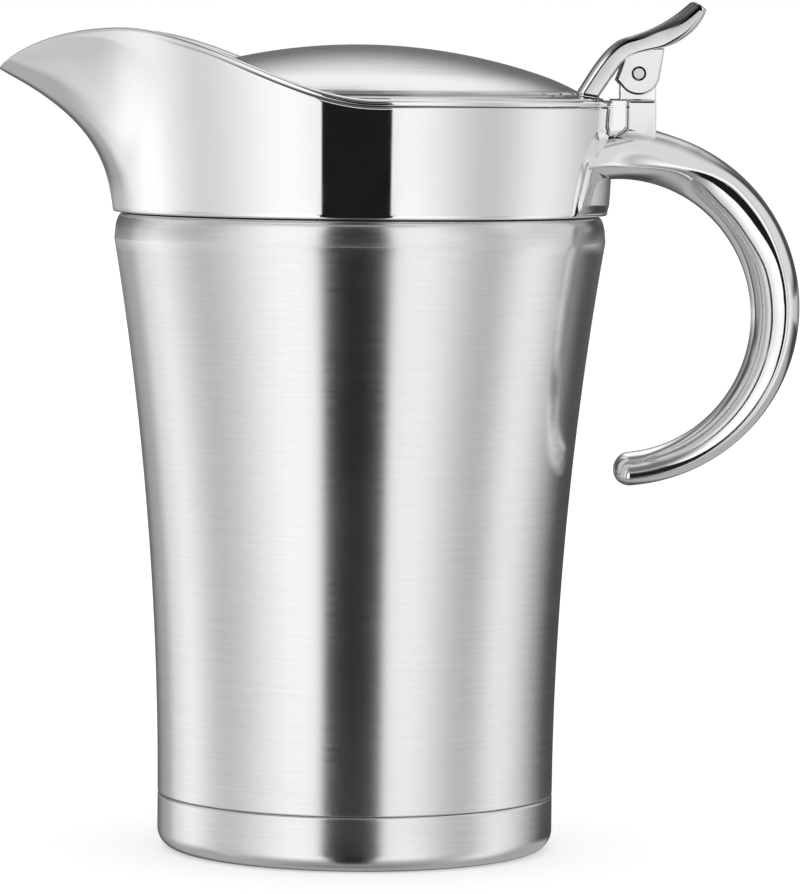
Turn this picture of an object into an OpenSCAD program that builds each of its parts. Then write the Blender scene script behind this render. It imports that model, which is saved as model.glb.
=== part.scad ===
// Insulated gravy boat: double-walled jug, spouted collar, C handle and a hinged dome lid.
// Spout towards -X, handle towards +X, +Z up. The origin is the middle of the resting face.
// All sizes in millimetres.

/* [Body] */
// Radius of the jug at its foot
foot_r = 42.3; // [40:0.1:44]
// Widest radius of the jug, at the shoulder
shoulder_r = 52.3; // [51:0.1:53]
// Height of the shoulder's flat top
body_h = 135.5; // [115:0.5:155]
// Drop from the shoulder's flat top to the widest point
shoulder_drop = 5.5; // [4:0.5:9]
// How far the shoulder curls in towards its flat top
shoulder_curl = 1.7; // [0.8:0.1:2.5]
// Height where the side starts to flare out
flare_z = 10; // [4:1:30]
// Rounding of the bottom edge
foot_round = 4; // [2:0.5:6]
// Height of the seam over the base cup
seam_z = 11.8; // [10.5:0.1:18]
// Width of that seam
seam_w = 0.4; // [0.3:0.1:0.8]
// Sheet of the outer shell
shell_t = 0.6; // [0.5:0.1:0.9]
// Sheet of the base cup
cup_t = 0.8; // [0.6:0.1:1]
// Sheet of the vacuum bottom
bottom_t = 0.7; // [0.5:0.1:1]

/* [Flask] */
// Vacuum gap between shell and flask at the foot
vacuum_gap = 3.6; // [2.5:0.1:5]
// Sheet of the flask
flask_t = 0.5; // [0.4:0.1:0.7]
// Height of the flask's floor
flask_floor_z = 13; // [12.5:0.5:18]
// Rounding between the flask's floor and side
flask_round = 8; // [5:0.5:11]
// Width of the flask's lip over the neck
lip_w = 1.6; // [1.2:0.1:3]
// Height below the shoulder where the flask's straight mouth starts
mouth_drop = 3; // [1:0.5:8]
// Width of the shoulder's flat top, out to its curl
shoulder_land = 3.4; // [3.2:0.1:5]
// Height of the neck over the shoulder
neck_h = 11; // [9:0.5:11.5]
// Radius of the evacuation hole in the vacuum bottom
vent_r = 1.5; // [1:0.1:2]
// Radius of the brazed bead over that hole
bead_r = 3.2; // [2.5:0.1:4]
// Height of that bead
bead_h = 0.9; // [0.6:0.1:1.2]
// Radius of the getter pill
getter_r = 4; // [3:0.5:6]
// Height of the getter pill
getter_h = 1.4; // [1:0.1:2]
// Height of the vacuum bottom's skirt
skirt_h = 4; // [3:0.5:5]

/* [Collar] */
// Outer radius of the collar at its lower edge
collar_r = 52.6; // [52.4:0.1:54]
// How much wider the collar is at its rim
collar_flare = 1.3; // [0.6:0.1:2]
// Height of the collar up to its rim
collar_h = 24.4; // [24.2:0.2:28]
// Wall of the collar
collar_t = 1.8; // [1.5:0.1:1.9]
// How far the inside of the spout lies above its outside, for a sloping wall of the same sheet
wall_shift = 1; // [0.5:0.1:1.5]
// Open seam between shoulder and collar
collar_gap = 0.3; // [0.2:0.05:0.5]

/* [Spout] */
// How far the spout stands out from the collar at its tip
spout_out = 22.7; // [16:0.1:28]
// Height of the spout's tip over the collar's lower edge
spout_tip_h = 29.6; // [28:0.2:34]
// Radius of the keel at the tip, seen from above
spout_tip_r = 5; // [3.5:0.5:8]
// Pinch between round wall and beak, in degrees
spout_pinch = 3.2; // [1:0.2:5]
// Blend between round wall and beak
spout_blend = 5; // [2:0.5:8]
// Where the rim starts to rise, in front of the hinge
rise_x = 3.8; // [-4:0.1:14]
// How far inside the collar's lower edge the spout's highest point lies
peak_in = 2.6; // [-2:0.1:5]
// Height of that point over the rim
peak_rise = 14.3; // [12.4:0.1:17]
// Half length of the ellipse that the lip follows, from the highest point to beyond the tip
lip_len = 31.9; // [28:0.1:38]
// Half height of that ellipse
lip_drop = 17.7; // [14:0.1:24]

/* [Throat ring] */
// Wall of the ring at its foot, between neck and collar
ring_wall = 3.15; // [2.8:0.05:4.5]
// Width of the pouring sill
sill_w = 1.2; // [0.8:0.1:2]
// How far the ring's shelf stays back from the flask's mouth
shelf_back = 0.2; // [0.1:0.05:0.6]
// Thickness of the shelf over the flask's lip
shelf_t = 2; // [1.6:0.1:2.4]
// Depth of the lid's ledge under the rim
ledge_drop = 2.8; // [2.7:0.1:3.2]
// Width of the pouring notch
notch_w = 52; // [36:1:58]
// Thickness of the neck gasket
neck_gasket_t = 0.8; // [0.5:0.1:1]

/* [Handle] */
// Distance of the grip's arc centre from the collar's wall
grip_out = 2.4; // [1.8:0.1:4]
// Radius of the grip's middle line
grip_r = 33.7; // [28:0.1:38]
// Height of the grip's root over the collar's lower edge
root_h = 13.2; // [12.8:0.1:13.4]
// Thickness of the grip, outside to inside, at its far side
grip_t = 10.4; // [8.8:0.1:11.5]
// Thickness of the grip at its root
root_t = 10.9; // [10:0.1:11.4]
// Thickness of the grip at its tail
tail_t = 7.2; // [6:0.1:10]
// Width of the grip at its far side
grip_w = 16; // [14:0.5:20]
// Gain of that width at the root, and its loss at the tail
width_taper = 1.3; // [0.5:0.1:2]
// Where the grip is widest, between middle (0) and outside (1)
grip_ridge = 0.4; // [0.1:0.05:0.6]
// Sweep of the grip below its far side, in degrees
tail_a = 85; // [70:1:90]
// Length of the rounded tail
tail_len = 3.4; // [2:0.2:5]
// Width of the flange on the collar
flange_w = 48; // [40:1:52]
// Height of the flange
flange_h = 18.2; // [17.6:0.2:18.6]
// Thickness of the flange
flange_t = 0.6; // [0.5:0.1:1.6]
// Rounding of the flange's edge
flange_edge = 0.3; // [0.2:0.1:0.4]
// How much wider the root spreads over the flange, on either side
root_spread = 8; // [5:0.5:10]
// How much wider the grip is where it leaves the root, on either side
root_flare = 3.9; // [2:0.1:5]

/* [Hinge] */
// Distance of the hinge pin from the collar's rim
pin_out = 4.85; // [4.7:0.05:6]
// Height of the hinge pin over the rim
pin_rise = 5.8; // [5.5:0.1:6.4]
// Diameter of the hinge pin
pin_d = 2.6; // [2:0.1:3]
// Radial clearance of the pin in the lever
pin_fit = 0.05; // [0.03:0.01:0.08]
// Radius of the bracket's knuckle
knuckle_r = 3.8; // [3.2:0.05:3.95]
// Width of the bracket's knuckle
knuckle_w = 6.4; // [5:0.2:7]
// Width of the hinge across the ears
hinge_w = 12; // [11:0.5:14]
// Length of the hinge block
block_len = 6.1; // [5:0.1:6.5]
// Width of the web between block and collar
web_w = 9; // [7:0.5:10]
// Depth of the bracket's foot under the rim
foot_drop = 8.7; // [8.4:0.1:9]

/* [Lid] */
// Width of the flange round the dome
lid_flange_w = 5; // [4.9:0.1:6]
// Height of the dome over its flange
dome_rise = 10.3; // [7:0.1:14]
// Height of the step at the dome's edge
dome_step = 1.3; // [0.8:0.1:2]
// Width of that step, seen from above
step_w = 0.6; // [0.4:0.1:1]
// Gap between the lid's flange and the collar's rim
lid_gap = 0.6; // [0.5:0.05:1]
// Height of the flange over the rim at the dome
lid_lift = 1.1; // [1:0.1:1.5]
// Fall of the flange from the dome to its edge
lid_fall = 0.7; // [0.4:0.1:0.9]
// Sheet of the lid
lid_t = 0.7; // [0.5:0.1:0.8]
// Gap between the liner's plug and the throat
plug_gap = 0.9; // [0.8:0.1:2]
// Bevel at the plug's lower edge
plug_bevel = 1; // [0.5:0.1:1.5]
// Depth of the plug under the liner's flange
plug_h = 4.4; // [3:0.1:5]
// Wall of the liner
liner_t = 1.5; // [1.2:0.1:1.6]
// Width of the lid gasket
lid_gasket_w = 4.2; // [3:0.1:4.4]

/* [Lever] */
// Width of the lever's strap
strap_w = 12; // [11:0.5:14]
// Width of the thumb tab
tab_w = 15; // [12:0.5:20]
// Reach of the thumb tab beyond the pin
tab_reach = 13.9; // [12:0.1:15]
// Rise of the thumb tab over the pin
tab_rise = 15.3; // [13:0.1:17]
// Length of the tab's slanting end
tab_end = 2.75; // [2:0.05:4]
// Height of the tab's slanting end
tab_t = 2; // [1.5:0.1:3]
// Where the tab starts to widen, beyond the pin
tab_from = 4; // [2:0.5:6]
// Length over which the tab widens
tab_widen = 4; // [2:0.5:6]
// How far the strap's crest lies in front of the pin
crest_back = 2.4; // [1:0.1:4]
// Rise of the strap's crest over the pin
crest_rise = 7.7; // [7:0.1:9]
// Reach of the strap's underside beyond the pin, over the ears
neck_out = 4.5; // [3.5:0.1:5.5]
// Rise of that point over the pin
neck_rise = 5.4; // [4.8:0.1:6]
// How far the strap's lower bend lies in front of the pin
bend_back = 5.2; // [5:0.1:6]
// How far that bend lies below the pin
bend_drop = 2; // [1:0.1:2.5]
// Bevel along the strap's upper edges
strap_edge = 1.6; // [0.8:0.1:2]
// Width of the lever's foot on the flange
lever_foot_w = 20; // [16:0.5:24]
// Thickness of that foot
lever_foot_t = 1.3; // [1:0.1:1.8]
// Radius of the ears round the pin
ear_r = 4.5; // [4:0.1:4.9]
// Reach of the ears' upper corner beyond the pin
ear_out = 5.4; // [5:0.1:6]

/* [Screws] */
// Shank diameter of the handle and bracket screws
screw_d = 2.5; // [2:0.1:3]
// Head diameter of those screws
head_d = 4.6; // [4:0.1:5]
// Head height of those screws
head_h = 1.4; // [1:0.1:1.5]
// Distance between the two handle screws
screw_gap = 11; // [9:0.5:13]
// Shank diameter of the lever screws
lever_screw_d = 2; // [1.6:0.1:2.2]
// Distance between the two lever screws
lever_screw_gap = 6.8; // [5:0.2:7.4]
// Height of the lever screws' countersunk heads
lever_head_h = 0.8; // [0.6:0.1:1]
// How much wider those heads are than their shanks
lever_head_w = 1.4; // [1:0.1:2]
// Depth of the lever screws in the strap
lever_screw_in = 1.9; // [1.2:0.1:2.5]

/* [Hidden] */
$fn = 96;

// clearances, and how far a cut runs past what it cuts
slip = 0.1;
weld = 0.05;
ring_fit = 0.35;
seat_fit = 0.2;
rest_gap = 0.3;
turn_gap = 0.25;
side_gap = 0.2;
past = 2;

satin = [0.72, 0.72, 0.73];
chrome = [0.84, 0.85, 0.87];
dark = [0.13, 0.13, 0.14];

wide_z = body_h - shoulder_drop;
seam_low = seam_z - seam_w / 2;
seam_top = seam_z + seam_w / 2;
sleeve_r = foot_r - cup_t - slip;
sleeve_z = foot_round + cup_t + side_gap;
plate_z = sleeve_z + skirt_h;
neck_z = body_h + neck_h;
lip_z = neck_z + flask_t;
flask_r = foot_r - shell_t - vacuum_gap - flask_t;

// the neck stands inside both the shoulder and the collar, with the throat ring round it
neck_r = min(shoulder_r - shoulder_curl - shoulder_land, collar_r - collar_t - ring_fit - ring_wall - slip);
mouth_r = neck_r - lip_w;
shelf_r = mouth_r + shelf_back;
throat_r = shelf_r + sill_w;

collar_z = body_h + collar_gap;
rim_z = collar_z + collar_h;
rim_r = collar_r + collar_flare;
peak_x = collar_r - peak_in;
shelf_z = lip_z + neck_gasket_t;
sill_z = shelf_z + shelf_t;
ledge_z = rim_z - ledge_drop;

lid_r = rim_r - collar_t - lid_gap;
dome_r = lid_r - lid_flange_w;
plug_r = throat_r - plug_gap;

grip_x = collar_r + grip_out;
root_z = collar_z + root_h;
grip_z = root_z - grip_r;

pin_x = rim_r + pin_out;
pin_z = rim_z + pin_rise;
pad_z = rim_z - foot_drop;
block_z = rim_z - side_gap;
block_x = pin_x + knuckle_r - block_len;

flange_in_z = rim_z + lid_lift;
flange_out_z = flange_in_z - lid_fall;
liner_top = flange_out_z - lid_t - weld;
liner_low = liner_top - liner_t;
plug_z = liner_low - plug_h;
liner_r = lid_r - side_gap;
gasket_low = ledge_z + rest_gap;

handle_screw_z = root_z - grip_t / 7;
bracket_screw_z = ledge_z - head_d / 2 - rest_gap - side_gap;
lever_screw_x = dome_r + lid_flange_w * 0.56;

// small helpers
function rev(l) = [for (i = [len(l) - 1 : -1 : 0]) l[i]];
function sgn_pow(v, e) = sign(v) * pow(abs(v), e);
function mix(a, b, t) = a + (b - a) * t;
function arc(c, r, a0, a1, n) =
    [for (i = [0 : n]) let (a = mix(a0, a1, i / n)) [c[0] + r * cos(a), c[1] + r * sin(a)]];
// a curve from p to q; a and b say how it leaves and arrives, along and across the line between them
function turned(v, k) = k[0] * v + k[1] * [-v[1], v[0]];
function bow(p, q, a, b, n) =
    let (p1 = p + turned(q - p, a), q1 = q - turned(q - p, b))
    [for (i = [0 : n]) let (t = i / n, s = 1 - t)
        s * s * s * p + 3 * t * s * s * p1 + 3 * t * t * s * q1 + t * t * t * q];
function bare_end(l) = [for (i = [0 : len(l) - 2]) l[i]];

module lathe(outline) {
    rotate_extrude() polygon(outline);
}

// an outline in X and Z, given a width along Y
module slab(outline, w) {
    rotate([90, 0, 0]) linear_extrude(height = w, center = true) polygon(outline);
}

// side of the jug
function body_r(z) =
    foot_r + (shoulder_r - foot_r) * pow(max(0, (z - flare_z) / (wide_z - flare_z)), 2);
function side(inset, z0) =
    [for (i = [0 : 22]) let (z = mix(z0, wide_z, i / 22)) [body_r(z) - inset, z]];
function shoulder(inset) =
    [for (i = [1 : 7]) let (a = 90 * i / 7)
        [shoulder_r - inset - shoulder_curl * (1 - cos(a)), wide_z + (shoulder_drop - inset) * sin(a)]];

module outer_shell() color(satin) lathe(concat(
    [[sleeve_r - shell_t, sleeve_z], [sleeve_r, sleeve_z], [sleeve_r, seam_top]],
    side(0, seam_top), shoulder(0),
    [[neck_r, body_h], [neck_r, neck_z], [neck_r - shell_t, neck_z], [neck_r - shell_t, body_h - shell_t]],
    rev(shoulder(shell_t)), rev(side(shell_t, seam_top + shell_t)),
    [[sleeve_r - shell_t, seam_top + shell_t]]));

// inside of the flask: floor, rounding, flaring side, straight mouth
flask_bend_z = flask_floor_z + flask_round;
flask_mouth_z = body_h - mouth_drop;
function flask_side(out) = concat(
    arc([flask_r - flask_round, flask_bend_z], flask_round + out, -90, 0, 10),
    [for (i = [1 : 18]) let (t = i / 18)
        [mix(flask_r, mouth_r, t * t) + out, mix(flask_bend_z, flask_mouth_z, t)]]);

module inner_flask() color(chrome) lathe(concat(
    [[0, flask_floor_z - flask_t]], flask_side(flask_t),
    [[mouth_r + flask_t, neck_z], [neck_r, neck_z], [neck_r, lip_z], [mouth_r, lip_z]],
    rev(flask_side(0)), [[0, flask_floor_z]]));

module outer_bottom() color(satin) difference() {
    lathe([[0, plate_z - bottom_t], [sleeve_r - shell_t - weld - bottom_t, plate_z - bottom_t],
           [sleeve_r - shell_t - weld - bottom_t, sleeve_z], [sleeve_r - shell_t - weld, sleeve_z],
           [sleeve_r - shell_t - weld, plate_z - shell_t], [sleeve_r - 2 * shell_t - weld, plate_z],
           [0, plate_z]]);
    translate([0, 0, plate_z - bottom_t - past]) cylinder(h = bottom_t + 2 * past, r = vent_r, $fn = 32);
}

module vacuum_plug() color(dark) {
    translate([0, 0, plate_z - bottom_t]) cylinder(h = bottom_t, r = vent_r - weld, $fn = 32);
    translate([0, 0, plate_z - bottom_t - bead_h])
        cylinder(h = bead_h, r1 = bead_r - bead_h, r2 = bead_r, $fn = 32);
}

module getter_pill() color(dark)
    translate([foot_r / 2, 0, plate_z]) cylinder(h = getter_h, r = getter_r, $fn = 40);

module base_cup() color(satin) lathe(concat(
    [[0, 0]], arc([foot_r - foot_round, foot_round], foot_round, -90, 0, 10),
    [[foot_r, seam_low], [foot_r - cup_t, seam_low]],
    arc([foot_r - foot_round, foot_round], foot_round - cup_t, 0, -90, 10), [[0, cup_t]]));

// wall of the collar: a slightly flared round wall that grows a beak towards the spout's tip
function collar_at(z) = collar_r + collar_flare * (z - collar_z) / collar_h;
function eased(t) = t <= 0.95 ? t : t - pow(min(t - 0.95, 0.25), 2) / 0.5;
function stand_out(z) =
    let (t = eased(max(0, (z - collar_z) / spout_tip_h))) spout_out * (0.1 * t + 0.9 * pow(t, 2.75));
function beak(a, z) =
    let (R = collar_at(z), t = min(1, max(0, (z - collar_z) / spout_tip_h)),
         r = mix(R, spout_tip_r, 1 - (1 - t) * (1 - t)), d = R + stand_out(z) - r,
         th = acos(min(1, (R - r) / max(d, 0.000001))) + spout_pinch * t, p = d * cos(th) + r,
         touch = atan2(r * sin(th), d + r * cos(th)))
    a <= touch ? d * cos(a) + sqrt(max(0, r * r - pow(d * sin(a), 2)))
    : a <= th ? p / cos(a - th)
    : 2 * p - p / cos(min(80, a - th));
function soft_max(a, b, k) = max(a, b) + (k > 0 ? pow(max(k - abs(a - b), 0), 2) / (4 * k) : 0);
function wall(a, z) = soft_max(collar_at(z), beak(a, z), spout_blend * min(1, stand_out(z) / spout_out));
function wall_in(a, z) = wall(a, z - wall_shift) - collar_t;

// height of the rim over a point of its run, seen from the side
function rim_at(x) =
    x >= rise_x ? rim_z
    : x > -peak_x ? let (u = (rise_x - x) / (rise_x + peak_x)) rim_z + peak_rise * u * u * (3 - 2 * u)
    : rim_z + peak_rise - lip_drop * (1 - sqrt(max(0, 1 - pow(min(1, (-x - peak_x) / lip_len), 2))));
function rim_height(a, inner, lo, hi, n) =
    let (z = (lo + hi) / 2, r = inner ? wall_in(a, z) : wall(a, z))
    n == 0 ? z
    : rim_at(-r * cos(a)) > z ? rim_height(a, inner, z, hi, n - 1)
    : rim_height(a, inner, lo, z, n - 1);

collar_n = 88;
collar_rows = 11;
function collar_angle(k) = let (u = 2 * k / collar_n - 1) 180 * (0.4 * u + 0.6 * u * u * u);
function collar_skin(inner) =
    let (tops = [for (k = [0 : collar_n - 1])
            rim_height(abs(collar_angle(k)), inner, collar_z, rim_z + 2 * peak_rise, 30)])
    [for (j = [0 : collar_rows], k = [0 : collar_n - 1])
        let (f = collar_angle(k), a = abs(f), z = mix(collar_z, tops[k], j / collar_rows),
             r = inner ? wall_in(a, z) : wall(a, z))
        [-r * cos(f), r * sin(f), z]];
function quad(a, b, c, d) = [[a, b, c], [a, c, d]];

module collar_wall() {
    n = collar_n;
    m = n * (collar_rows + 1);
    top = n * collar_rows;
    polyhedron(points = concat(collar_skin(false), collar_skin(true)), faces = concat(
        [for (j = [0 : collar_rows - 1], k = [0 : n - 1]) let (q = (k + 1) % n)
            each quad(j * n + k, (j + 1) * n + k, (j + 1) * n + q, j * n + q)],
        [for (j = [0 : collar_rows - 1], k = [0 : n - 1]) let (q = (k + 1) % n)
            each quad(m + j * n + q, m + (j + 1) * n + q, m + (j + 1) * n + k, m + j * n + k)],
        [for (k = [0 : n - 1]) let (q = (k + 1) % n)
            each quad(top + k, m + top + k, m + top + q, top + q)],
        [for (k = [0 : n - 1]) let (q = (k + 1) % n) each quad(q, m + q, m + k, k)]));
}

// screws that run outwards along X through the collar's wall
module along_x(x, y, z) {
    translate([x, y, z]) rotate([0, 90, 0]) children();
}
function head_x(y, z) = sqrt(pow(collar_at(z) - collar_t, 2) - pow(abs(y) + head_d / 2, 2)) - rest_gap;
handle_head_x = head_x(screw_gap / 2, handle_screw_z);
bracket_head_x = head_x(0, bracket_screw_z);
handle_screw_end = grip_x + grip_t * 0.4;
bracket_screw_end = pin_x + knuckle_r / 2;

module spout_collar() color(chrome) difference() {
    collar_wall();
    for (s = [-1, 1])
        along_x(handle_head_x, s * screw_gap / 2, handle_screw_z)
            cylinder(h = rim_r + past - handle_head_x, d = screw_d + 2 * slip, $fn = 32);
    along_x(bracket_head_x, 0, bracket_screw_z)
        cylinder(h = rim_r + past - bracket_head_x, d = screw_d + 2 * slip, $fn = 32);
}

module throat_ring() color(dark) difference() {
    lathe([[neck_r + slip, body_h + slip], [collar_at(body_h) - collar_t - ring_fit, body_h + slip],
           [collar_at(ledge_z) - collar_t - ring_fit, ledge_z], [throat_r, ledge_z], [throat_r, sill_z],
           [shelf_r, sill_z], [shelf_r, shelf_z], [neck_r + slip, shelf_z]]);
    translate([-rim_r - past, -notch_w / 2, sill_z]) cube([rim_r + past, notch_w, collar_h]);
    translate([handle_head_x - head_h - slip, -screw_gap / 2 - head_d / 2 - slip, handle_screw_z - head_d / 2 - slip])
        cube([rim_r + past - handle_head_x, screw_gap + head_d + 2 * slip, head_d + 2 * slip]);
    translate([bracket_head_x - head_h - slip, -head_d / 2 - slip, bracket_screw_z - head_d / 2 - slip])
        cube([rim_r + past - bracket_head_x, head_d + 2 * slip, head_d + 2 * slip]);
}

module neck_gasket() color(dark)
    lathe([[shelf_r + slip, lip_z], [neck_r, lip_z], [neck_r, shelf_z], [shelf_r + slip, shelf_z]]);

// handle: rings of points from the flange on the collar to the rounded tail
ring_n = 36;
function seat_x(y, z, lift) = sqrt(pow(collar_at(z) + seat_fit + lift, 2) - y * y);
function seat_ring(hw, z0, z1, e, lift) =
    [for (k = [0 : ring_n - 1])
        let (th = 360 * k / ring_n, y = hw * sgn_pow(cos(th), e),
             z = (z0 + z1) / 2 + (z1 - z0) / 2 * sgn_pow(sin(th), e))
        [seat_x(y, z, lift), y, z]];
function egg(s, ridge) =
    let (u = s > ridge ? (s - ridge) / (1 - ridge) : (ridge - s) / (1 + ridge))
    pow(max(0, 1 - pow(u, 1.8)), 1 / 1.8);
function grip_half(s) = grip_t / 2 + s * (root_t - tail_t) / 4 + s * s * ((root_t + tail_t) / 4 - grip_t / 2);
function grip_ring(a, size, flare) =
    [for (k = [0 : ring_n - 1])
        let (th = 360 * k / ring_n, s = sin(th), ridge = grip_ridge * (1 - pow(max(0, sin(a)), 3)),
             n = grip_half(sin(a)) * size * s,
             y = ((grip_w / 2 + width_taper * sin(a)) * size + flare) * sign(cos(th)) * egg(s, ridge))
        [grip_x + (grip_r + n) * cos(a), y, grip_z + (grip_r + n) * sin(a)]];

flange_z0 = collar_z + side_gap;
flange_z1 = flange_z0 + flange_h;
root_lo = root_z - root_t / 2 - 1.5 * flange_edge;
root_hi = min(root_z + root_t / 2 + flange_edge, flange_z1 - flange_edge);
root_hw = grip_w / 2 + width_taper + root_spread;
tail_sweep = tail_len / grip_r * 180 / PI;
function seat_cap(f) =
    seat_ring(flange_w / 2 * f, mix(root_z, flange_z0, f), mix(root_z, flange_z1, f), 0.62, flange_edge);
function handle_rings() = concat(
    [seat_cap(0.33), seat_cap(0.66)],
    [seat_ring(flange_w / 2, flange_z0, flange_z1, 0.62, 0)],
    [seat_ring(flange_w / 2, flange_z0, flange_z1, 0.62, flange_t - flange_edge)],
    [seat_ring(flange_w / 2 - 2 * flange_edge, flange_z0 + flange_edge, flange_z1 - flange_edge, 0.62, flange_t)],
    [seat_ring(root_hw, root_lo, root_hi, 0.75, flange_t + flange_edge / 2)],
    [for (i = [0 : 20]) grip_ring(mix(88, -tail_a, i / 20), 1, root_flare * pow(max(0, 1 - i / 4), 2))],
    [for (i = [1 : 4]) grip_ring(-tail_a - tail_sweep * sin(90 * i / 5), cos(90 * i / 5), 0)]);

module handle_solid() {
    rings = handle_rings();
    n = ring_n;
    m = len(rings);
    tail = -tail_a - tail_sweep;
    polyhedron(
        points = concat([for (r = rings) each r],
            [[seat_x(0, root_z, flange_edge), 0, root_z],
             [grip_x + grip_r * cos(tail), 0, grip_z + grip_r * sin(tail)]]),
        faces = concat(
            [for (j = [0 : m - 2], k = [0 : n - 1]) let (q = (k + 1) % n)
                each quad(j * n + k, (j + 1) * n + k, (j + 1) * n + q, j * n + q)],
            [for (k = [0 : n - 1]) [m * n, k, (k + 1) % n]],
            [for (k = [0 : n - 1]) [m * n + 1, (m - 1) * n + (k + 1) % n, (m - 1) * n + k]]));
}

module handle() color(chrome) difference() {
    handle_solid();
    translate([collar_r - past, -web_w / 2 - slip, pad_z])
        cube([block_x - collar_r + 2 * past, web_w + 2 * slip, foot_drop + past]);
    translate([block_x - slip, -hinge_w / 2 - slip, pad_z])
        cube([block_len + 2 * slip, hinge_w + 2 * slip, foot_drop + past]);
    for (s = [-1, 1])
        along_x(collar_r - past, s * screw_gap / 2, handle_screw_z)
            cylinder(h = handle_screw_end - collar_r + past, d = screw_d, $fn = 32);
}

module x_screw(x0, x1, y, z) {
    along_x(x0, y, z) cylinder(h = x1 - x0, d = screw_d, $fn = 32);
    along_x(x0 - head_h, y, z) cylinder(h = head_h, d = head_d, $fn = 40);
}

module handle_screws() color(satin)
    for (s = [-1, 1]) x_screw(handle_head_x, handle_screw_end, s * screw_gap / 2, handle_screw_z);

module bracket_screw() color(satin) x_screw(bracket_head_x, bracket_screw_end, 0, bracket_screw_z);

// a round bar across the hinge
module cross_bar(r, w) {
    translate([pin_x, 0, pin_z]) rotate([90, 0, 0]) cylinder(h = w, r = r, center = true, $fn = 64);
}

module hinge_bracket() color(chrome) difference() {
    union() {
        translate([collar_r - past, -web_w / 2, pad_z])
            cube([block_x - collar_r + 2 * past, web_w, block_z - pad_z]);
        translate([block_x, -hinge_w / 2, pad_z]) cube([block_len, hinge_w, block_z - pad_z]);
        translate([pin_x - knuckle_r, -knuckle_w / 2, pad_z]) cube([2 * knuckle_r, knuckle_w, pin_z - pad_z]);
        cross_bar(knuckle_r, knuckle_w);
    }
    translate([0, 0, collar_z])
        cylinder(h = collar_h, r1 = collar_r + seat_fit, r2 = rim_r + seat_fit);
    cross_bar(pin_d / 2, knuckle_w + past);
    along_x(collar_r - past, 0, bracket_screw_z)
        cylinder(h = bracket_screw_end - collar_r + past, d = screw_d, $fn = 32);
}

module hinge_pin() color(satin) cross_bar(pin_d / 2, hinge_w - 2 * weld);

// dome: a shallow cap with a small step down to a sloping flange
cap_r = dome_r - step_w;
cap_h = dome_rise - dome_step;
cap_R = (cap_r * cap_r + cap_h * cap_h) / (2 * cap_h);
cap_z = flange_in_z + dome_rise - cap_R;
function cap_arc(R, r1) = [for (i = [0 : 16]) let (r = r1 * i / 16) [r, cap_z + sqrt(R * R - r * r)]];
function lever_holes() = [[lever_screw_x, -lever_screw_gap / 2], [lever_screw_x, lever_screw_gap / 2]];

module lid_dome() color(satin) difference() {
    lathe(concat(cap_arc(cap_R, cap_r),
        [[dome_r, flange_in_z], [lid_r, flange_out_z], [lid_r, flange_out_z - lid_t],
         [dome_r - lid_t, flange_in_z - lid_t]],
        rev(cap_arc(cap_R - lid_t, cap_r - lid_t))));
    for (p = lever_holes())
        translate([p[0], p[1], liner_low])
            cylinder(h = flange_in_z - liner_low + past, d = lever_screw_d + 2 * slip, $fn = 32);
}

module lid_liner() color(dark) difference() {
    lathe([[0, plug_z], [plug_r - plug_bevel, plug_z], [plug_r, plug_z + plug_bevel], [plug_r, liner_low],
           [liner_r, liner_low], [liner_r, liner_top], [plug_r - liner_t, liner_top],
           [plug_r - liner_t, plug_z + liner_t], [0, plug_z + liner_t]]);
    for (p = lever_holes()) translate([p[0], p[1], liner_low]) {
        translate([0, 0, -past]) cylinder(h = liner_t + 2 * past, d = lever_screw_d + 2 * slip, $fn = 32);
        cylinder(h = lever_head_h, d1 = lever_screw_d + lever_head_w + 2 * slip, d2 = lever_screw_d + 2 * slip,
                 $fn = 32);
    }
}

module lid_gasket() color(dark)
    lathe([[plug_r + slip, gasket_low], [plug_r + lid_gasket_w, gasket_low],
           [plug_r + lid_gasket_w, liner_low], [plug_r + slip, liner_low]]);

lever_screw_top = flange_in_z + lever_screw_in;
module lever_screws() color(satin)
    for (p = lever_holes()) translate([p[0], p[1], liner_low]) {
        cylinder(h = lever_screw_top - liner_low, d = lever_screw_d, $fn = 32);
        cylinder(h = lever_head_h, d1 = lever_screw_d + lever_head_w, d2 = lever_screw_d, $fn = 32);
    }

// lever: strap up from the flange, over the hinge, out to the thumb tab; points are from the pin
function from_pin(p) = [pin_x + p[0], pin_z + p[1]];
strap_x0 = dome_r + rest_gap + slip;
strap_x1 = lid_r - lid_gap - side_gap;
function flange_at(r) = flange_in_z - lid_fall * (r - dome_r) / (lid_r - dome_r);
lever_toe = [strap_x0 - pin_x, flange_in_z + weld - pin_z];
lever_heel = [strap_x1 - pin_x, flange_at(strap_x1) + weld - pin_z];
lever_crest = [-crest_back, crest_rise];
lever_tip = [tab_reach - tab_end, tab_rise];
lever_end = [tab_reach, tab_rise - tab_t];
lever_neck = [neck_out, neck_rise];
lever_bend = [-bend_back, -bend_drop];
function lever_upper() = concat(
    bare_end(bow(lever_toe, lever_crest, [0.278, 0.172], [0.237, -0.183], 10)),
    bow(lever_crest, lever_tip, [0.317, -0.08], [0.386, 0.098], 10));
function lever_lower() = concat(
    [for (i = [0 : 3]) mix(lever_heel, lever_bend, i / 4)],
    bare_end(bow(lever_bend, lever_neck, [0.302, 0.234], [0.235, -0.097], 8)),
    bow(lever_neck, lever_end, [0.314, -0.184], [0.256, 0.162], 8));
function lever_half(x) = mix(strap_w, tab_w, min(1, max(0, (x - tab_from) / tab_widen))) / 2;

// one cross section of the strap: t its upper and b its lower point
function strap_ring(t, b, trim) =
    let (edge = min(strap_edge, 0.4 * norm(b - t)), e = t + (b - t) * edge / norm(b - t),
         hw = lever_half((t[0] + b[0]) / 2) - trim)
    [for (p = [[b, -hw], [e, -hw], [t, edge - hw], [t, hw - edge], [e, hw], [b, hw]])
        let (q = from_pin(p[0])) [q[0], p[1], q[1]]];

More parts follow.
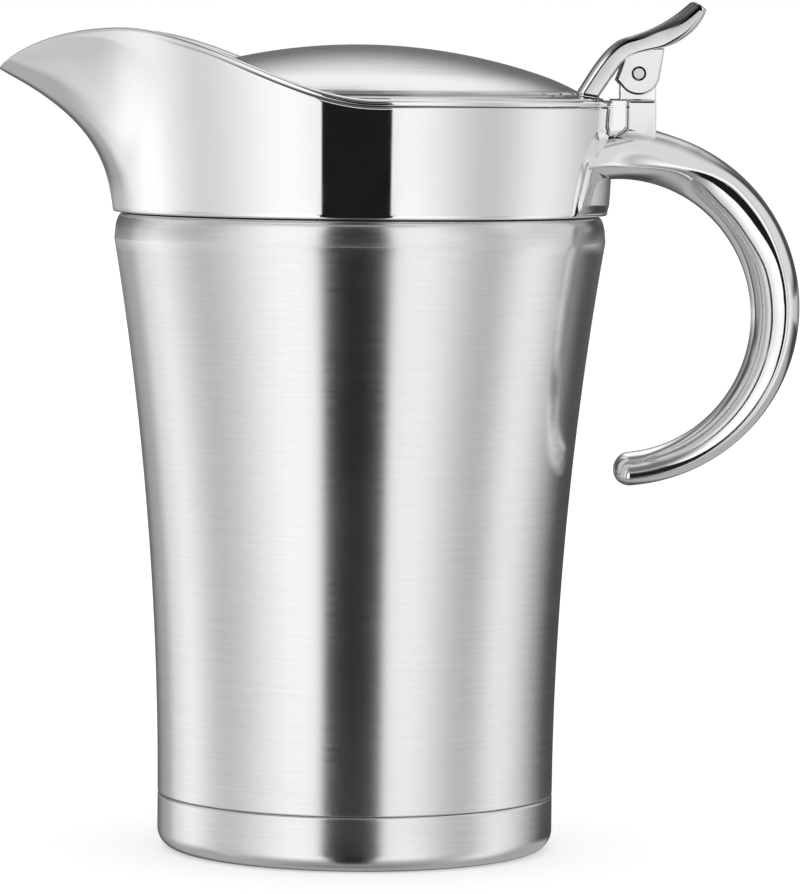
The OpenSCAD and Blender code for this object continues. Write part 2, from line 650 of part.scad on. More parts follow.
module strap() {
    upper = lever_upper();
    lower = lever_lower();
    bulge = turned(lever_end - lever_tip, [0, 0.14]);
    rings = concat(
        [for (i = [0 : len(upper) - 1]) strap_ring(upper[i], lower[i], 0)],
        [strap_ring(mix(lever_tip, lever_end, 0.3) + bulge, mix(lever_tip, lever_end, 0.85) + bulge, tab_end * 0.3)]);
    n = 6;
    last = n * (len(rings) - 1);
    polyhedron(points = [for (r = rings) each r], faces = concat(
        [for (j = [0 : len(rings) - 2], k = [0 : n - 1]) let (q = (k + 1) % n)
            each quad(j * n + q, (j + 1) * n + q, (j + 1) * n + k, j * n + k)],
        [for (k = [1 : n - 2]) [0, k + 1, k]],
        [for (k = [1 : n - 2]) [last, last + k, last + k + 1]]));
}

function ear_outline() = [for (p = concat(arc([0, 0], ear_r, 215, 360, 14),
    [[ear_out, neck_rise], [-crest_back, neck_rise], [-bend_back * 0.9, -bend_drop * 0.7]])) from_pin(p)];

module thumb_lever() color(chrome) difference() {
    union() {
        strap();
        for (s = [-1, 1])
            translate([0, s * (hinge_w + knuckle_w + 2 * side_gap) / 4, 0])
                slab(ear_outline(), (hinge_w - knuckle_w - 2 * side_gap) / 2);
        intersection() {
            lathe([[strap_x0, flange_at(strap_x0) + weld], [strap_x1, flange_at(strap_x1) + weld],
                   [strap_x1, flange_at(strap_x1) + lever_foot_t], [strap_x0, flange_at(strap_x0) + lever_foot_t]]);
            translate([0, -lever_foot_w / 2, flange_out_z - past])
                cube([lid_r, lever_foot_w, lid_fall + lever_foot_t + 2 * past]);
        }
    }
    cross_bar(pin_d / 2 + pin_fit, hinge_w + 2 * past);
    cross_bar(knuckle_r + turn_gap, knuckle_w + 2 * side_gap);
    for (p = lever_holes())
        translate([p[0], p[1], liner_low]) cylinder(h = lever_screw_top - liner_low, d = lever_screw_d, $fn = 32);
}

outer_shell();
inner_flask();
outer_bottom();
vacuum_plug();
getter_pill();
base_cup();
spout_collar();
throat_ring();
neck_gasket();
handle();
handle_screws();
hinge_bracket();
bracket_screw();
hinge_pin();
lid_dome();
lid_liner();
lid_gasket();
thumb_lever();
lever_screws();
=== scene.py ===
import math

import bmesh
import bpy
import numpy
from mathutils import Matrix, Vector


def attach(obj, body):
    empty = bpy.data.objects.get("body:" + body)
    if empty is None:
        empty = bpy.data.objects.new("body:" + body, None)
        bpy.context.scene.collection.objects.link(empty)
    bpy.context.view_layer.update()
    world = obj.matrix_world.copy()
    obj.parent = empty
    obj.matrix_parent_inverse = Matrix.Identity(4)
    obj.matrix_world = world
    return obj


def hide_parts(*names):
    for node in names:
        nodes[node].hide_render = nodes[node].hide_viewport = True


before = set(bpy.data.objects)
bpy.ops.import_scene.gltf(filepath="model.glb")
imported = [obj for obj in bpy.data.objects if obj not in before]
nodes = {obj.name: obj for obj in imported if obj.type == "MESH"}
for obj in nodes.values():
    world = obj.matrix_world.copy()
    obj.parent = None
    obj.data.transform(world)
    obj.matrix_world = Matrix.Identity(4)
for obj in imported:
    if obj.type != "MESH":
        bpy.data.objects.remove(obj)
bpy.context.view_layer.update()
print("frame loaded:", len(nodes), "nodes")


# numbers and curves, all in millimetres until a mesh is made
def mix(a, b, t):
    return a + (b - a) * t


def ease(low, high, value):
    t = min(1.0, max(0.0, (value - low) / (high - low)))
    return t * t * (3 - 2 * t)


def spread(count, low=0.0, high=1.0):
    return [mix(low, high, i / (count - 1)) for i in range(count)]


def power(value, exponent):
    return math.copysign(abs(value) ** exponent, value)


def arc(centre, radius, start, stop, count):
    turns = [math.radians(a) for a in spread(count, start, stop)]
    return [(centre[0] + radius * math.cos(a), centre[1] + radius * math.sin(a)) for a in turns]


def rounded(corners, steps=6, closed=False, guard=0.012):
    flat = [Vector(c[:2]) for c in corners]
    path = []
    for i, corner in enumerate(flat):
        radius = corners[i][2] if len(corners[i]) > 2 else 0
        if radius == 0 or (not closed and i in (0, len(flat) - 1)):
            path.append(corner)
            continue
        before = (flat[i - 1] - corner).normalized()
        after = (flat[(i + 1) % len(flat)] - corner).normalized()
        half = before.angle(after) / 2
        centre = corner + (before + after).normalized() * radius / math.sin(half)
        start = corner + before * radius / math.tan(half) - centre
        stop = corner + after * radius / math.tan(half) - centre
        sweep = start.angle(stop)
        path.append(centre + start + before * guard)
        for t in spread(steps + 1):
            step = start * math.sin((1 - t) * sweep) + stop * math.sin(t * sweep)
            path.append(centre + step / math.sin(sweep))
        path.append(centre + stop + after * guard)
    return path


def turned(v, k):
    return v * k[0] + Vector((-v.y, v.x)) * k[1]


def bow(p, q, leave, arrive, count):
    p1 = p + turned(q - p, leave)
    q1 = q - turned(q - p, arrive)
    path = []
    for t in spread(count):
        s = 1 - t
        path.append(p * s ** 3 + p1 * (3 * t * s * s) + q1 * (3 * t * t * s) + q * t ** 3)
    return path


# meshes: rings of points joined by faces
def loft(rings, loop=False):
    count = len(rings[0])
    points = [tuple(p) for ring in rings for p in ring]
    faces = []
    for j in range(len(rings) if loop else len(rings) - 1):
        a = j * count
        b = ((j + 1) % len(rings)) * count
        for k in range(count):
            q = (k + 1) % count
            faces.append((a + k, a + q, b + q, b + k))
    if not loop:
        faces.append(tuple(range(count)))
        faces.append(tuple(range(len(points) - count, len(points))))
    return points, faces


def lathe(profile, count=240):
    points = []
    rows = []
    for r, z in profile:
        if r < 1e-6:
            rows.append([len(points)] * count)
            points.append((0, 0, z))
            continue
        rows.append(list(range(len(points), len(points) + count)))
        for k in range(count):
            a = 2 * math.pi * k / count
            points.append((r * math.cos(a), r * math.sin(a), z))
    faces = []
    for a, b in zip(rows, rows[1:] + rows[:1]):
        for k in range(count):
            q = (k + 1) % count
            face = list(dict.fromkeys((a[k], a[q], b[q], b[k])))
            if len(face) > 2:
                faces.append(tuple(face))
    return points, faces


def merged(*parts):
    points = []
    faces = []
    for some, theirs in parts:
        faces.extend(tuple(i + len(points) for i in face) for face in theirs)
        points.extend(some)
    return points, faces


def addPiece(name, shape, body, material, sharp=40, paintedShade=None):
    mesh = bpy.data.meshes.new(name)
    mesh.from_pydata([Vector(p) * 0.001 for p in shape[0]], [], shape[1])
    # a painted shade value per point, which darkens the colour where the finish reads it
    if paintedShade:
        mesh.attributes.new("paintedShade", "FLOAT", "POINT").data.foreach_set("value", paintedShade)
    work = bmesh.new()
    work.from_mesh(mesh)
    bmesh.ops.remove_doubles(work, verts=work.verts, dist=1e-7)
    bmesh.ops.recalc_face_normals(work, faces=work.faces)
    work.to_mesh(mesh)
    work.free()
    mesh.shade_smooth()
    mesh.set_sharp_from_angle(angle=math.radians(sharp))
    mesh.materials.append(material)
    piece = bpy.data.objects.new(name, mesh)
    bpy.context.scene.collection.objects.link(piece)
    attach(piece, body)
    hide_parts(name.replace("_look", ""))


# shader maths: a socket that can be added, multiplied and fed into nodes
class Field:
    def __init__(self, tree, out=None):
        self.tree = tree
        self.out = out

    def node(self, kind, inputs, out=0, **settings):
        made = self.tree.nodes.new(kind)
        for key, value in settings.items():
            setattr(made, key, value)
        for key, value in inputs.items():
            if isinstance(value, Field):
                self.tree.links.new(value.out, made.inputs[key])
            else:
                made.inputs[key].default_value = value
        return Field(self.tree, made.outputs[out])

    def maths(self, operation, first, second=0.0):
        return self.node("ShaderNodeMath", {0: first, 1: second}, operation=operation)

    def __add__(self, other):
        return self.maths("ADD", self, other)

    def __sub__(self, other):
        return self.maths("SUBTRACT", self, other)

    def __rsub__(self, other):
        return self.maths("SUBTRACT", other, self)

    def __mul__(self, other):
        return self.maths("MULTIPLY", self, other)

    def __truediv__(self, other):
        return self.maths("DIVIDE", self, other)

    def __rtruediv__(self, other):
        return self.maths("DIVIDE", other, self)

    def __pow__(self, other):
        return self.maths("POWER", self, other)

    def __rpow__(self, other):
        return self.maths("POWER", other, self)

    __radd__ = __add__
    __rmul__ = __mul__


def axes(field, vector):
    return [field.node("ShaderNodeSeparateXYZ", {0: vector}, out=i) for i in range(3)]


def joined(field, x, y, z):
    return field.node("ShaderNodeCombineXYZ", {0: x, 1: y, 2: z})


def noise(field, vector, detail=2.0, rough=0.5, scale=1.0):
    inputs = {"Vector": vector, "Scale": scale, "Detail": detail, "Roughness": rough}
    return field.node("ShaderNodeTexNoise", inputs)


def between(value, low, high, start=0.0, stop=1.0):
    inputs = {"Value": value, "From Min": low, "From Max": high, "To Min": start, "To Max": stop}
    return value.node("ShaderNodeMapRange", inputs, interpolation_type="SMOOTHSTEP")


def blend(factor, a, b):
    return factor.node("ShaderNodeMix", {0: factor, 2: a, 3: b}, data_type="FLOAT")


def tint(factor, a, b):
    inputs = {0: factor, 6: (*a, 1), 7: (*b, 1)}
    return factor.node("ShaderNodeMix", inputs, out=2, data_type="RGBA")


def newMaterial(name, **constants):
    material = bpy.data.materials.new(name)
    material.use_nodes = True
    shader = material.node_tree.nodes["Principled BSDF"]
    for key, value in constants.items():
        shader.inputs[key.replace("_", " ")].default_value = value
    field = Field(material.node_tree)
    place = field.node("ShaderNodeTexCoord", {}, out=3)
    return material, shader, field, place


def plug(field, shader, colour, roughness, height, depth):
    links = field.tree.links
    links.new(colour.out, shader.inputs["Base Color"])
    links.new(roughness.out, shader.inputs["Roughness"])
    bump = field.node("ShaderNodeBump", {"Strength": 1.0, "Distance": depth * 0.001, "Height": height})
    links.new(bump.out, shader.inputs["Normal"])


def shade(colour, gain):
    return tuple(min(1.0, c * gain) for c in colour)


# brushed steel: fine lines round the axis, across height or radius; polished beyond the bright radius
brush = {"long": 45, "short": 260, "shortLine": 1.4, "longShare": 0.65, "cloud": 28.0, "cloudShare": 0.2,
         "dark": 0.86, "pale": 1.13, "streakRough": 0.1, "cloudRough": 0.05,
         "polishEdge": 0.4, "polish": 0.05, "polishRough": 0.03}


def brushed(name, colour, rough, lineSize, depth, across, spreadOut, bright=None):
    material, shader, field, place = newMaterial(
        name, Metallic=1.0, Anisotropic=spreadOut, Anisotropic_Rotation=0.25)
    x, y, z = axes(field, place)
    radius = (x * x + y * y) ** 0.5
    line = z if across == "height" else radius
    line = line * (1000 / lineSize)
    fine = noise(field, joined(field, x * brush["long"], y * brush["long"], line), 3.0, 0.65)
    line = line * brush["shortLine"]
    short = noise(field, joined(field, x * brush["short"], y * brush["short"], line), 2.0, 0.6)
    cloud = noise(field, place, 3.0, 0.55, brush["cloud"])
    streak = fine * brush["longShare"] + short * (1 - brush["longShare"])
    mottle = streak * (1 - brush["cloudShare"]) + cloud * brush["cloudShare"]
    tone = tint(mottle, shade(colour, brush["dark"]), shade(colour, brush["pale"]))
    roughness = rough + (streak - 0.5) * brush["streakRough"] + (cloud - 0.5) * brush["cloudRough"]
    if bright:
        edge = between(radius * 1000, bright - brush["polishEdge"], bright)
        roughness = blend(edge, roughness, brush["polish"] + (cloud - 0.5) * brush["polishRough"])
        streak = streak * (1 - edge)
        # the dome's colour is darkened by the mesh's painted shade value
        tone = withPaintedShade(field, tone)
    plug(field, shader, tone, roughness, streak, depth)
    return material


# darkens a colour by a mask, for the pin joint's dirt and for painted shade
def darker(mask, tone):
    grimeAndShade = (0.015, 0.015, 0.015, 1)
    return mask.node("ShaderNodeMix", {0: mask, 6: tone, 7: grimeAndShade}, out=2, data_type="RGBA")


# painted shade: darkening laid over the colour, from the value that the mesh carries
def withPaintedShade(field, tone):
    return darker(field.node("ShaderNodeAttribute", {}, out=2, attribute_name="paintedShade"), tone)


# hinge pin: its axis places the bracket's post and the lever, and the dirt round it
pin = {"x": 58.75, "z": 166.0, "radius": 1.3, "end": 5.95, "chamfer": 0.2, "round": 0.06}


# dirt in the joint between pin and ear: dark from one radius about the pin's axis to another
def joint(field, place, tone, low, high, soft=0.04):
    x, y, z = axes(field, place)
    x = x - pin["x"] * 0.001
    z = z - pin["z"] * 0.001
    far = (x * x + z * z) ** 0.5 * 1000
    mask = between(far, low - soft, low) * between(far, high + soft, high)
    return darker(mask, tone)


# polished chrome: faint smears and the slight unevenness of a polished casting
polish = {"smear": 60.0, "grain": 1900.0, "wave": 90.0, "dark": 0.97, "pale": 1.03,
          "smearRange": (0.45, 0.75), "smearRough": 0.035, "grainRough": 0.012}


def chromed(name, colour, rough, wave, dirt=None):
    material, shader, field, place = newMaterial(name, Metallic=1.0)
    smear = noise(field, place, 4.0, 0.6, polish["smear"])
    grain = noise(field, place, 2.0, 0.5, polish["grain"])
    tone = tint(smear, shade(colour, polish["dark"]), shade(colour, polish["pale"]))
    # the colour is darkened by the mesh's painted shade value
    tone = withPaintedShade(field, tone)
    if dirt:
        tone = joint(field, place, tone, *dirt)
    roughness = rough + between(smear, *polish["smearRange"], 0.0, polish["smearRough"])
    roughness = roughness + (grain - 0.5) * polish["grainRough"]
    plug(field, shader, tone, roughness, noise(field, place, 1.0, 0.4, polish["wave"]), wave)
    return material


def moulded(name, colour, rough, grainSize, depth):
    material, shader, field, place = newMaterial(name)
    grain = noise(field, place, 4.0, 0.6, 1000 / grainSize)
    cloud = noise(field, place, 3.0, 0.5, 70.0)
    tone = tint(cloud, shade(colour, 0.85), shade(colour, 1.2))
    plug(field, shader, tone, rough + (grain - 0.5) * 0.2 + (cloud - 0.5) * 0.1, grain, depth)
    return material


def pressed(name, colour, rough, metallic, grainSize, depth):
    material, shader, field, place = newMaterial(name, Metallic=metallic)
    grain = noise(field, place, 5.0, 0.65, 1000 / grainSize)
    tone = tint(grain, shade(colour, 0.6), shade(colour, 1.35))
    plug(field, shader, tone, rough + (grain - 0.5) * 0.3, grain, depth)
    return material


chromeTone = (0.905, 0.905, 0.905)
satinSteel = brushed("satin steel", (0.81, 0.81, 0.81), 0.19, 0.55, 0.0004, "height", 0.1)
domeSteel = brushed("dome steel", (0.81, 0.81, 0.81), 0.2, 0.5, 0.0004, "radius", 0.1, bright=46.4)
innerSteel = brushed("drawn steel", (0.7, 0.7, 0.71), 0.22, 0.9, 0.0015, "height", 0.4)
turnedSteel = brushed("turned steel", (0.66, 0.66, 0.67), 0.3, 0.35, 0.001, "radius", 0.3)
pinSteel = chromed("pin steel", (0.72, 0.72, 0.73), 0.06, 0.0004, (1.17, 1.5))
collarChrome = chromed("collar chrome", chromeTone, 0.035, 0.0006)
handleChrome = chromed("handle chrome", chromeTone, 0.05, 0.0008)
leverChrome = chromed("lever chrome", chromeTone, 0.06, 0.0008, (1.1, 1.54))
ringPlastic = moulded("ring plastic", (0.05, 0.05, 0.055), 0.5, 0.35, 0.01)
sealSilicone = moulded("seal silicone", (0.3, 0.3, 0.31), 0.62, 0.6, 0.006)
beadBraze = pressed("brazed bead", (0.45, 0.38, 0.25), 0.4, 1.0, 0.7, 0.02)
getterPowder = pressed("getter powder", (0.2, 0.2, 0.21), 0.8, 0.0, 0.3, 0.03)
print("materials made")

# body: shell with a curled shoulder, cup under the seam, flask inside
shell = {"foot": 42.3, "wide": 52.3, "flareZ": 10.0, "wideZ": 130.0, "drop": 5.5, "curl": 1.7,
         "curlFrom": 28.0, "turnIn": 0.008, "turnZ": 0.2,
         "seamZ": 12.0, "seamRound": 0.22, "sleeve": 41.4, "sleeveZ": 5.0,
         "neck": 47.2, "neckZ": 146.5, "neckRound": 0.3, "sheet": 0.6}


def bodyAt(z):
    t = max(0.0, (z - shell["flareZ"]) / (shell["wideZ"] - shell["flareZ"]))
    return mix(shell["foot"], shell["wide"], t ** 2)


def shellSide(inset):
    low = shell["seamZ"] + shell["sheet"]
    side = [(bodyAt(z) - inset, z) for z in spread(48, low, shell["wideZ"])]
    side.append((shell["wide"] - inset - shell["turnIn"], shell["wideZ"] + shell["turnZ"]))
    for a in spread(14, shell["curlFrom"], 90):
        turn = math.radians(a)
        side.append((shell["wide"] - inset - shell["curl"] * (1 - math.cos(turn)),
                     shell["wideZ"] + (shell["drop"] - inset) * math.sin(turn)))
    return side


top = shell["wideZ"] + shell["drop"]
seam = shell["seamZ"]
sleeve = shell["sleeve"]
sleeveIn = sleeve - shell["sheet"]
neckIn = shell["neck"] - shell["sheet"]
shellOutline = rounded(
    [(sleeveIn, shell["sleeveZ"]), (sleeve, shell["sleeveZ"]), (sleeve, seam)]
    + [(bodyAt(seam), seam, shell["seamRound"])] + shellSide(0)
    + [(shell["neck"], top, shell["neckRound"]), (shell["neck"], shell["neckZ"])]
    + [(neckIn, shell["neckZ"]), (neckIn, top - shell["sheet"])]
    + shellSide(shell["sheet"])[::-1] + [(sleeveIn, seam + shell["sheet"])])
addPiece("outer_shell_look", lathe(shellOutline), "jug", satinSteel)

cup = {"radius": 42.3, "round": 4.0, "wallZ": 8.0, "top": 11.84, "topOut": 0.6, "topIn": 0.12,
       "sheet": 0.8, "floorFrom": 8.0, "floorTo": 34.0}
bend = (cup["radius"] - cup["round"], cup["round"])
cupIn = cup["radius"] - cup["sheet"]
cupOutline = rounded(
    [(0, 0)] + [(r, 0) for r in spread(8, cup["floorFrom"], cup["floorTo"])]
    + arc(bend, cup["round"], -90, 0, 24)
    + [(cup["radius"], cup["wallZ"]), (cup["radius"], cup["top"], cup["topOut"])]
    + [(cupIn, cup["top"], cup["topIn"]), (cupIn, cup["wallZ"])]
    + arc(bend, cup["round"] - cup["sheet"], 0, -90, 16) + [(0, cup["sheet"])])
addPiece("base_cup_look", lathe(cupOutline), "jug", satinSteel)

flask = {"side": 37.6, "mouth": 45.6, "floor": 13.0, "bend": 8.0, "top": 132.5, "sheet": 0.5,
         "lip": ((0.2, 0.0), (0.05, 0.07), (0.0, 0.25))}


def flaskSide(out):
    bendZ = flask["floor"] + flask["bend"]
    side = arc((flask["side"] - flask["bend"], bendZ), flask["bend"] + out, -90, 0, 20)
    for t in spread(40, 1 / 39, 1):
        side.append((mix(flask["side"], flask["mouth"], t * t) + out, mix(bendZ, flask["top"], t)))
    return side


lipZ = shell["neckZ"] + flask["sheet"]
flaskOutline = [(0, flask["floor"] - flask["sheet"])] + flaskSide(flask["sheet"])
flaskOutline.append((flask["mouth"] + flask["sheet"], shell["neckZ"]))
flaskOutline += [(shell["neck"], shell["neckZ"]), (shell["neck"], lipZ)]
flaskOutline += [(flask["mouth"] + out, lipZ - down) for out, down in flask["lip"]]
flaskOutline += flaskSide(0)[::-1] + [(0, flask["floor"])]
addPiece("inner_flask_look", lathe(flaskOutline), "jug", innerSteel)
print("body made")

# collar: a flared wall that grows into the spout, with a rounded rim
collar = {"low": 135.8, "radius": 52.6, "flare": 1.3, "height": 24.4, "sheet": 1.8, "shift": 1.0,
          "out": 22.7, "early": 0.1, "curve": 2.75, "settle": 0.95, "settleLong": 0.25,
          "tipHeight": 29.6, "tipRadius": 5.0, "taper": 1.35, "pinch": 3.2, "sideMost": 80.0,
          "blend": 5.0, "riseX": 3.8, "peakX": 50.0, "peak": 14.3, "lipLong": 31.9, "lipDrop": 17.7,
          "searchTop": 190.0,
          "columns": 480, "crowd": 0.4, "rows": 44, "firstRow": 0.02, "edgeRows": 6, "grooveRows": 14,
          "bandRows": 3, "rimRows": 15, "edge": 0.4, "edgeTurn": 75.0,
          "round": 0.8, "roundLean": 1.6, "leanStep": 0.5,
          "groove": 0.18, "grooveTall": 0.75, "grooveRange": (0.6, 1.3), "band": 0.3,
          "softTurn": 3.5, "softZ": 2.5, "keel": 7.0}


def collarAt(z):
    return collar["radius"] + collar["flare"] * (z - collar["low"]) / collar["height"]


def standOut(z):
    t = max(0.0, (z - collar["low"]) / collar["tipHeight"])
    if t > collar["settle"]:
        s = min(t - collar["settle"], collar["settleLong"])
        t = collar["settle"] + s - s * s / (2 * collar["settleLong"])
    return collar["out"] * mix(t ** collar["curve"], t, collar["early"])


def beakAt(a, z):
    big = collarAt(z)
    t = min(1.0, max(0.0, (z - collar["low"]) / collar["tipHeight"]))
    small = mix(big, collar["tipRadius"], t ** collar["taper"])
    far = big + standOut(z) - small
    lean = math.acos(min(1.0, (big - small) / max(far, 1e-6))) + math.radians(collar["pinch"]) * t
    flat = far * math.cos(lean) + small
    touch = math.atan2(small * math.sin(lean), far + small * math.cos(lean))
    if a <= touch:
        return far * math.cos(a) + math.sqrt(max(0.0, small ** 2 - (far * math.sin(a)) ** 2))
    if a <= lean:
        return flat / math.cos(a - lean)
    return 2 * flat - flat / math.cos(min(math.radians(collar["sideMost"]), a - lean))


def roughWall(a, z):
    big = collarAt(z)
    beak = beakAt(a, z)
    soft = collar["blend"] * min(1.0, standOut(z) / collar["out"])
    swell = max(soft - abs(big - beak), 0.0) ** 2 / (4 * soft) if soft > 0 else 0.0
    return max(big, beak) + swell


# the wall is sampled and smoothed, so that the spout's flanks reflect without breaks
grid = {"turn": 0.5, "z": 0.5, "low": 126.0, "high": 186.0}


def smoothed(table, sigma, axis):
    reach = int(3 * sigma)
    weights = [math.exp(-0.5 * (k / sigma) ** 2) for k in range(-reach, reach + 1)]
    pad = [(reach, reach) if axis == i else (0, 0) for i in range(2)]
    wide = numpy.pad(table, pad, mode="reflect" if axis == 0 else "edge")
    count = table.shape[axis]
    total = sum(numpy.take(wide, range(k, k + count), axis=axis) * w for k, w in enumerate(weights))
    return total / sum(weights)


gridTurns = [math.radians(grid["turn"] * i) for i in range(int(180 / grid["turn"]) + 1)]
gridLevels = spread(int((grid["high"] - grid["low"]) / grid["z"]) + 1, grid["low"], grid["high"])
wallTable = numpy.array([[roughWall(a, z) for z in gridLevels] for a in gridTurns])
softTable = smoothed(wallTable, collar["softTurn"] / grid["turn"], 0)
softTable = smoothed(softTable, collar["softZ"] / grid["z"], 1)
nearKeel = numpy.exp(-(numpy.degrees(gridTurns) / collar["keel"]) ** 2)
softTable = softTable + numpy.outer(nearKeel, wallTable[0] - softTable[0])
wallRows = softTable.tolist()


def cubic(f):
    return ((-f + 2 * f * f - f ** 3) / 2, (2 - 5 * f * f + 3 * f ** 3) / 2,
            (f + 4 * f * f - 3 * f ** 3) / 2, (f ** 3 - f * f) / 2)


def wallAt(a, z):
    last = len(wallRows) - 1
    u = min(math.degrees(a), 179.999) / grid["turn"]
    v = (z - grid["low"]) / grid["z"]
    i = int(u)
    j = int(v)
    across = cubic(u - i)
    along = cubic(v - j)
    total = 0.0
    for m in range(4):
        row = wallRows[last - abs(last - abs(i + m - 1))]
        total += across[m] * sum(along[n] * row[j + n - 1] for n in range(4))
    return total


def innerAt(a, z):
    return wallAt(a, z - collar["shift"]) - collar["sheet"]


def rimAt(x):
    low = collar["low"] + collar["height"]
    if x >= collar["riseX"]:
        return low
    if x > -collar["peakX"]:
        u = (collar["riseX"] - x) / (collar["riseX"] + collar["peakX"])
        return low + collar["peak"] * u * u * (3 - 2 * u)
    u = min(1.0, (-x - collar["peakX"]) / collar["lipLong"])
    return low + collar["peak"] - collar["lipDrop"] * (1 - math.sqrt(max(0.0, 1 - u * u)))


# where a wall meets the rim's line, found by halving
def rimHeight(a, radiusAt, halvings=34):
    low = collar["low"]
    high = collar["searchTop"]
    for _ in range(halvings):
        z = (low + high) / 2
        if rimAt(-radiusAt(a, z) * math.cos(a)) > z:
            low = z
        else:
            high = z
    return low


def collarColumn(turn):
    a = abs(turn)

    def at(r, z):
        return Vector((-r * math.cos(turn), r * math.sin(turn), z))

    low = collar["low"]
    edge = collar["edge"]
    rim = rimHeight(a, wallAt)
    lean = max(0.0, wallAt(a, rim) - wallAt(a, rim - collar["leanStep"])) / collar["leanStep"]
    top = collar["round"] / (1 + collar["roundLean"] * lean)
    groove = collar["groove"] * ease(*collar["grooveRange"], a)
    outTop = rim - top
    bandLow = outTop - collar["band"]
    outLow = bandLow - collar["grooveTall"]
    inTop = rimHeight(a, innerAt) - top
    column = []
    for t in spread(collar["edgeRows"], collar["edgeTurn"], 0):
        s = math.radians(t)
        z = low + edge * (1 - math.sin(s))
        column.append(at(wallAt(a, z) - edge * (1 - math.cos(s)), z))
    for t in spread(collar["rows"], collar["firstRow"], 1):
        z = mix(low + edge, outLow, t)
        column.append(at(wallAt(a, z), z))
    for t in spread(collar["grooveRows"], 1 / collar["grooveRows"], 1):
        z = mix(outLow, bandLow, t)
        column.append(at(wallAt(a, z) - groove * (1 - math.cos(2 * math.pi * t)) / 2, z))
    for t in spread(collar["bandRows"], 1 / collar["bandRows"], 1):
        z = mix(bandLow, outTop, t)
        column.append(at(wallAt(a, z), z))
    outer = column[-1]
    inner = at(innerAt(a, inTop), inTop)
    rimStep = 180 / (collar["rimRows"] + 1)
    for t in spread(collar["rimRows"], rimStep, 180 - rimStep):
        s = math.radians(t)
        across = outer.lerp(inner, (1 - math.cos(s)) / 2)
        column.append(across + Vector((0, 0, top * math.sin(s))))
    for t in spread(collar["rows"] // 2, 1, 0):
        z = mix(low, inTop, t)
        column.append(at(innerAt(a, z), z))
    return column


columnSpots = spread(collar["columns"] + 1, -1, 1)[:-1]
turns = [math.pi * mix(u ** 3, u, collar["crowd"]) for u in columnSpots]
collarShape = loft([collarColumn(turn) for turn in turns], loop=True)
grooveFirst = collar["edgeRows"] + collar["rows"]
grooveRows = range(grooveFirst, grooveFirst + collar["grooveRows"])
# painted shade in the groove under the rim, fading out towards the spout
grooveShade = []
for turn in turns:
    for k in range(len(collarShape[0]) // len(turns)):
        t = (k - grooveFirst + 1) / len(grooveRows) if k in grooveRows else 0.0
        grooveShade.append(math.sin(math.pi * t) ** 4 * ease(*collar["grooveRange"], abs(turn)))
addPiece("spout_collar_look", collarShape, "jug", collarChrome,
         sharp=50, paintedShade=grooveShade)
print("collar made")

# handle: flange on the collar, flared root and the C-shaped grip; ranges are degrees round its centre
grip = {"x": 55.0, "z": 115.3, "radius": 33.7, "root": 103.0, "tail": -85.0, "tailSweep": 5.78,
        "rings": 240, "count": 144, "sink": -0.7, "seatFrom": 80.0,
        "rootRange": (70.0, 94.0), "rise": 0.9, "thick": (5.2, 0.925, -0.675), "wide": (8.0, 1.3),
        "lean": 0.075, "leanFrom": 50.0, "leanEase": 10.0,
        "flare": 10.0, "flareFrom": 48.0, "flareLong": 54.0, "flarePower": 4.5,
        "ridge": 0.37, "ridgeOut": (45.0, 75.0), "rootRidge": -0.3, "rootRidgeIn": (55.0, 88.0),
        "tailRidge": 0.05, "tailRidgeIn": (0.0, -80.0),
        "bulge": 1.65, "armBulge": 0.3, "armIn": (16.0, 36.0), "armOut": (64.0, 48.0), "rootBulge": 0.4,
        "dip": 0.22, "dipIn": (46.0, 64.0), "dipOut": (92.0, 66.0)}
flange = {"low": 136.0, "high": 154.2, "wideLow": 28.0, "wideHigh": 22.0, "seat": 0.2, "sink": -0.6,
          "edge": -0.24, "lift": 0.1, "soft": 2.5, "backInset": 0.6, "sideInset": 0.3,
          "corner": 2.6, "cornerLeast": 0.2, "cornerSteps": 8, "sideSteps": 24}


def seatX(y, z, lift):
    return math.sqrt((collarAt(z) + flange["seat"] + lift) ** 2 - y * y)


def egg(s, ridge, bulge):
    u = (s - ridge) / (1 - ridge) if s > ridge else (ridge - s) / (1 + ridge)
    return max(0.0, 1 - u ** bulge) ** (1 / bulge)


def gripRing(angle, size=1.0):
    a = math.radians(angle)
    s = math.sin(min(a, math.pi / 2))
    root = ease(*grip["rootRange"], angle)
    arm = ease(*grip["armIn"], angle) * ease(*grip["armOut"], angle)
    dip = ease(*grip["dipIn"], angle) * ease(*grip["dipOut"], angle)
    ridge = grip["ridge"] * (1 - ease(*grip["ridgeOut"], angle))
    ridge += grip["rootRidge"] * ease(*grip["rootRidgeIn"], angle)
    ridge += grip["tailRidge"] * ease(*grip["tailRidgeIn"], angle)
    bulge = grip["bulge"] + grip["armBulge"] * arm + grip["rootBulge"] * root - grip["dip"] * dip
    thick = sum(share * s ** i for i, share in enumerate(grip["thick"])) * size
    past = max(0.0, angle - grip["leanFrom"])
    soft = grip["leanEase"]
    lean = past * past / (2 * soft) if past < soft else past - soft / 2
    flare = max(0.0, (angle - grip["flareFrom"]) / grip["flareLong"]) ** grip["flarePower"]
    wide = (grip["wide"][0] + grip["wide"][1] * s) * size + grip["lean"] * lean + grip["flare"] * flare
    ring = []
    for k in range(grip["count"]):
        t = 2 * math.pi * k / grip["count"]
        up = math.sin(t)
        n = grip["radius"] + thick * up + grip["rise"] * root * max(0.0, up) ** 2
        y = math.copysign(wide * egg(up, ridge, bulge), math.cos(t))
        x = grip["x"] + n * math.cos(a)
        z = grip["z"] + n * math.sin(a)
        if angle > grip["seatFrom"]:
            x = max(x, seatX(y, z, grip["sink"]))
        ring.append(Vector((x, y, z)))
    return ring


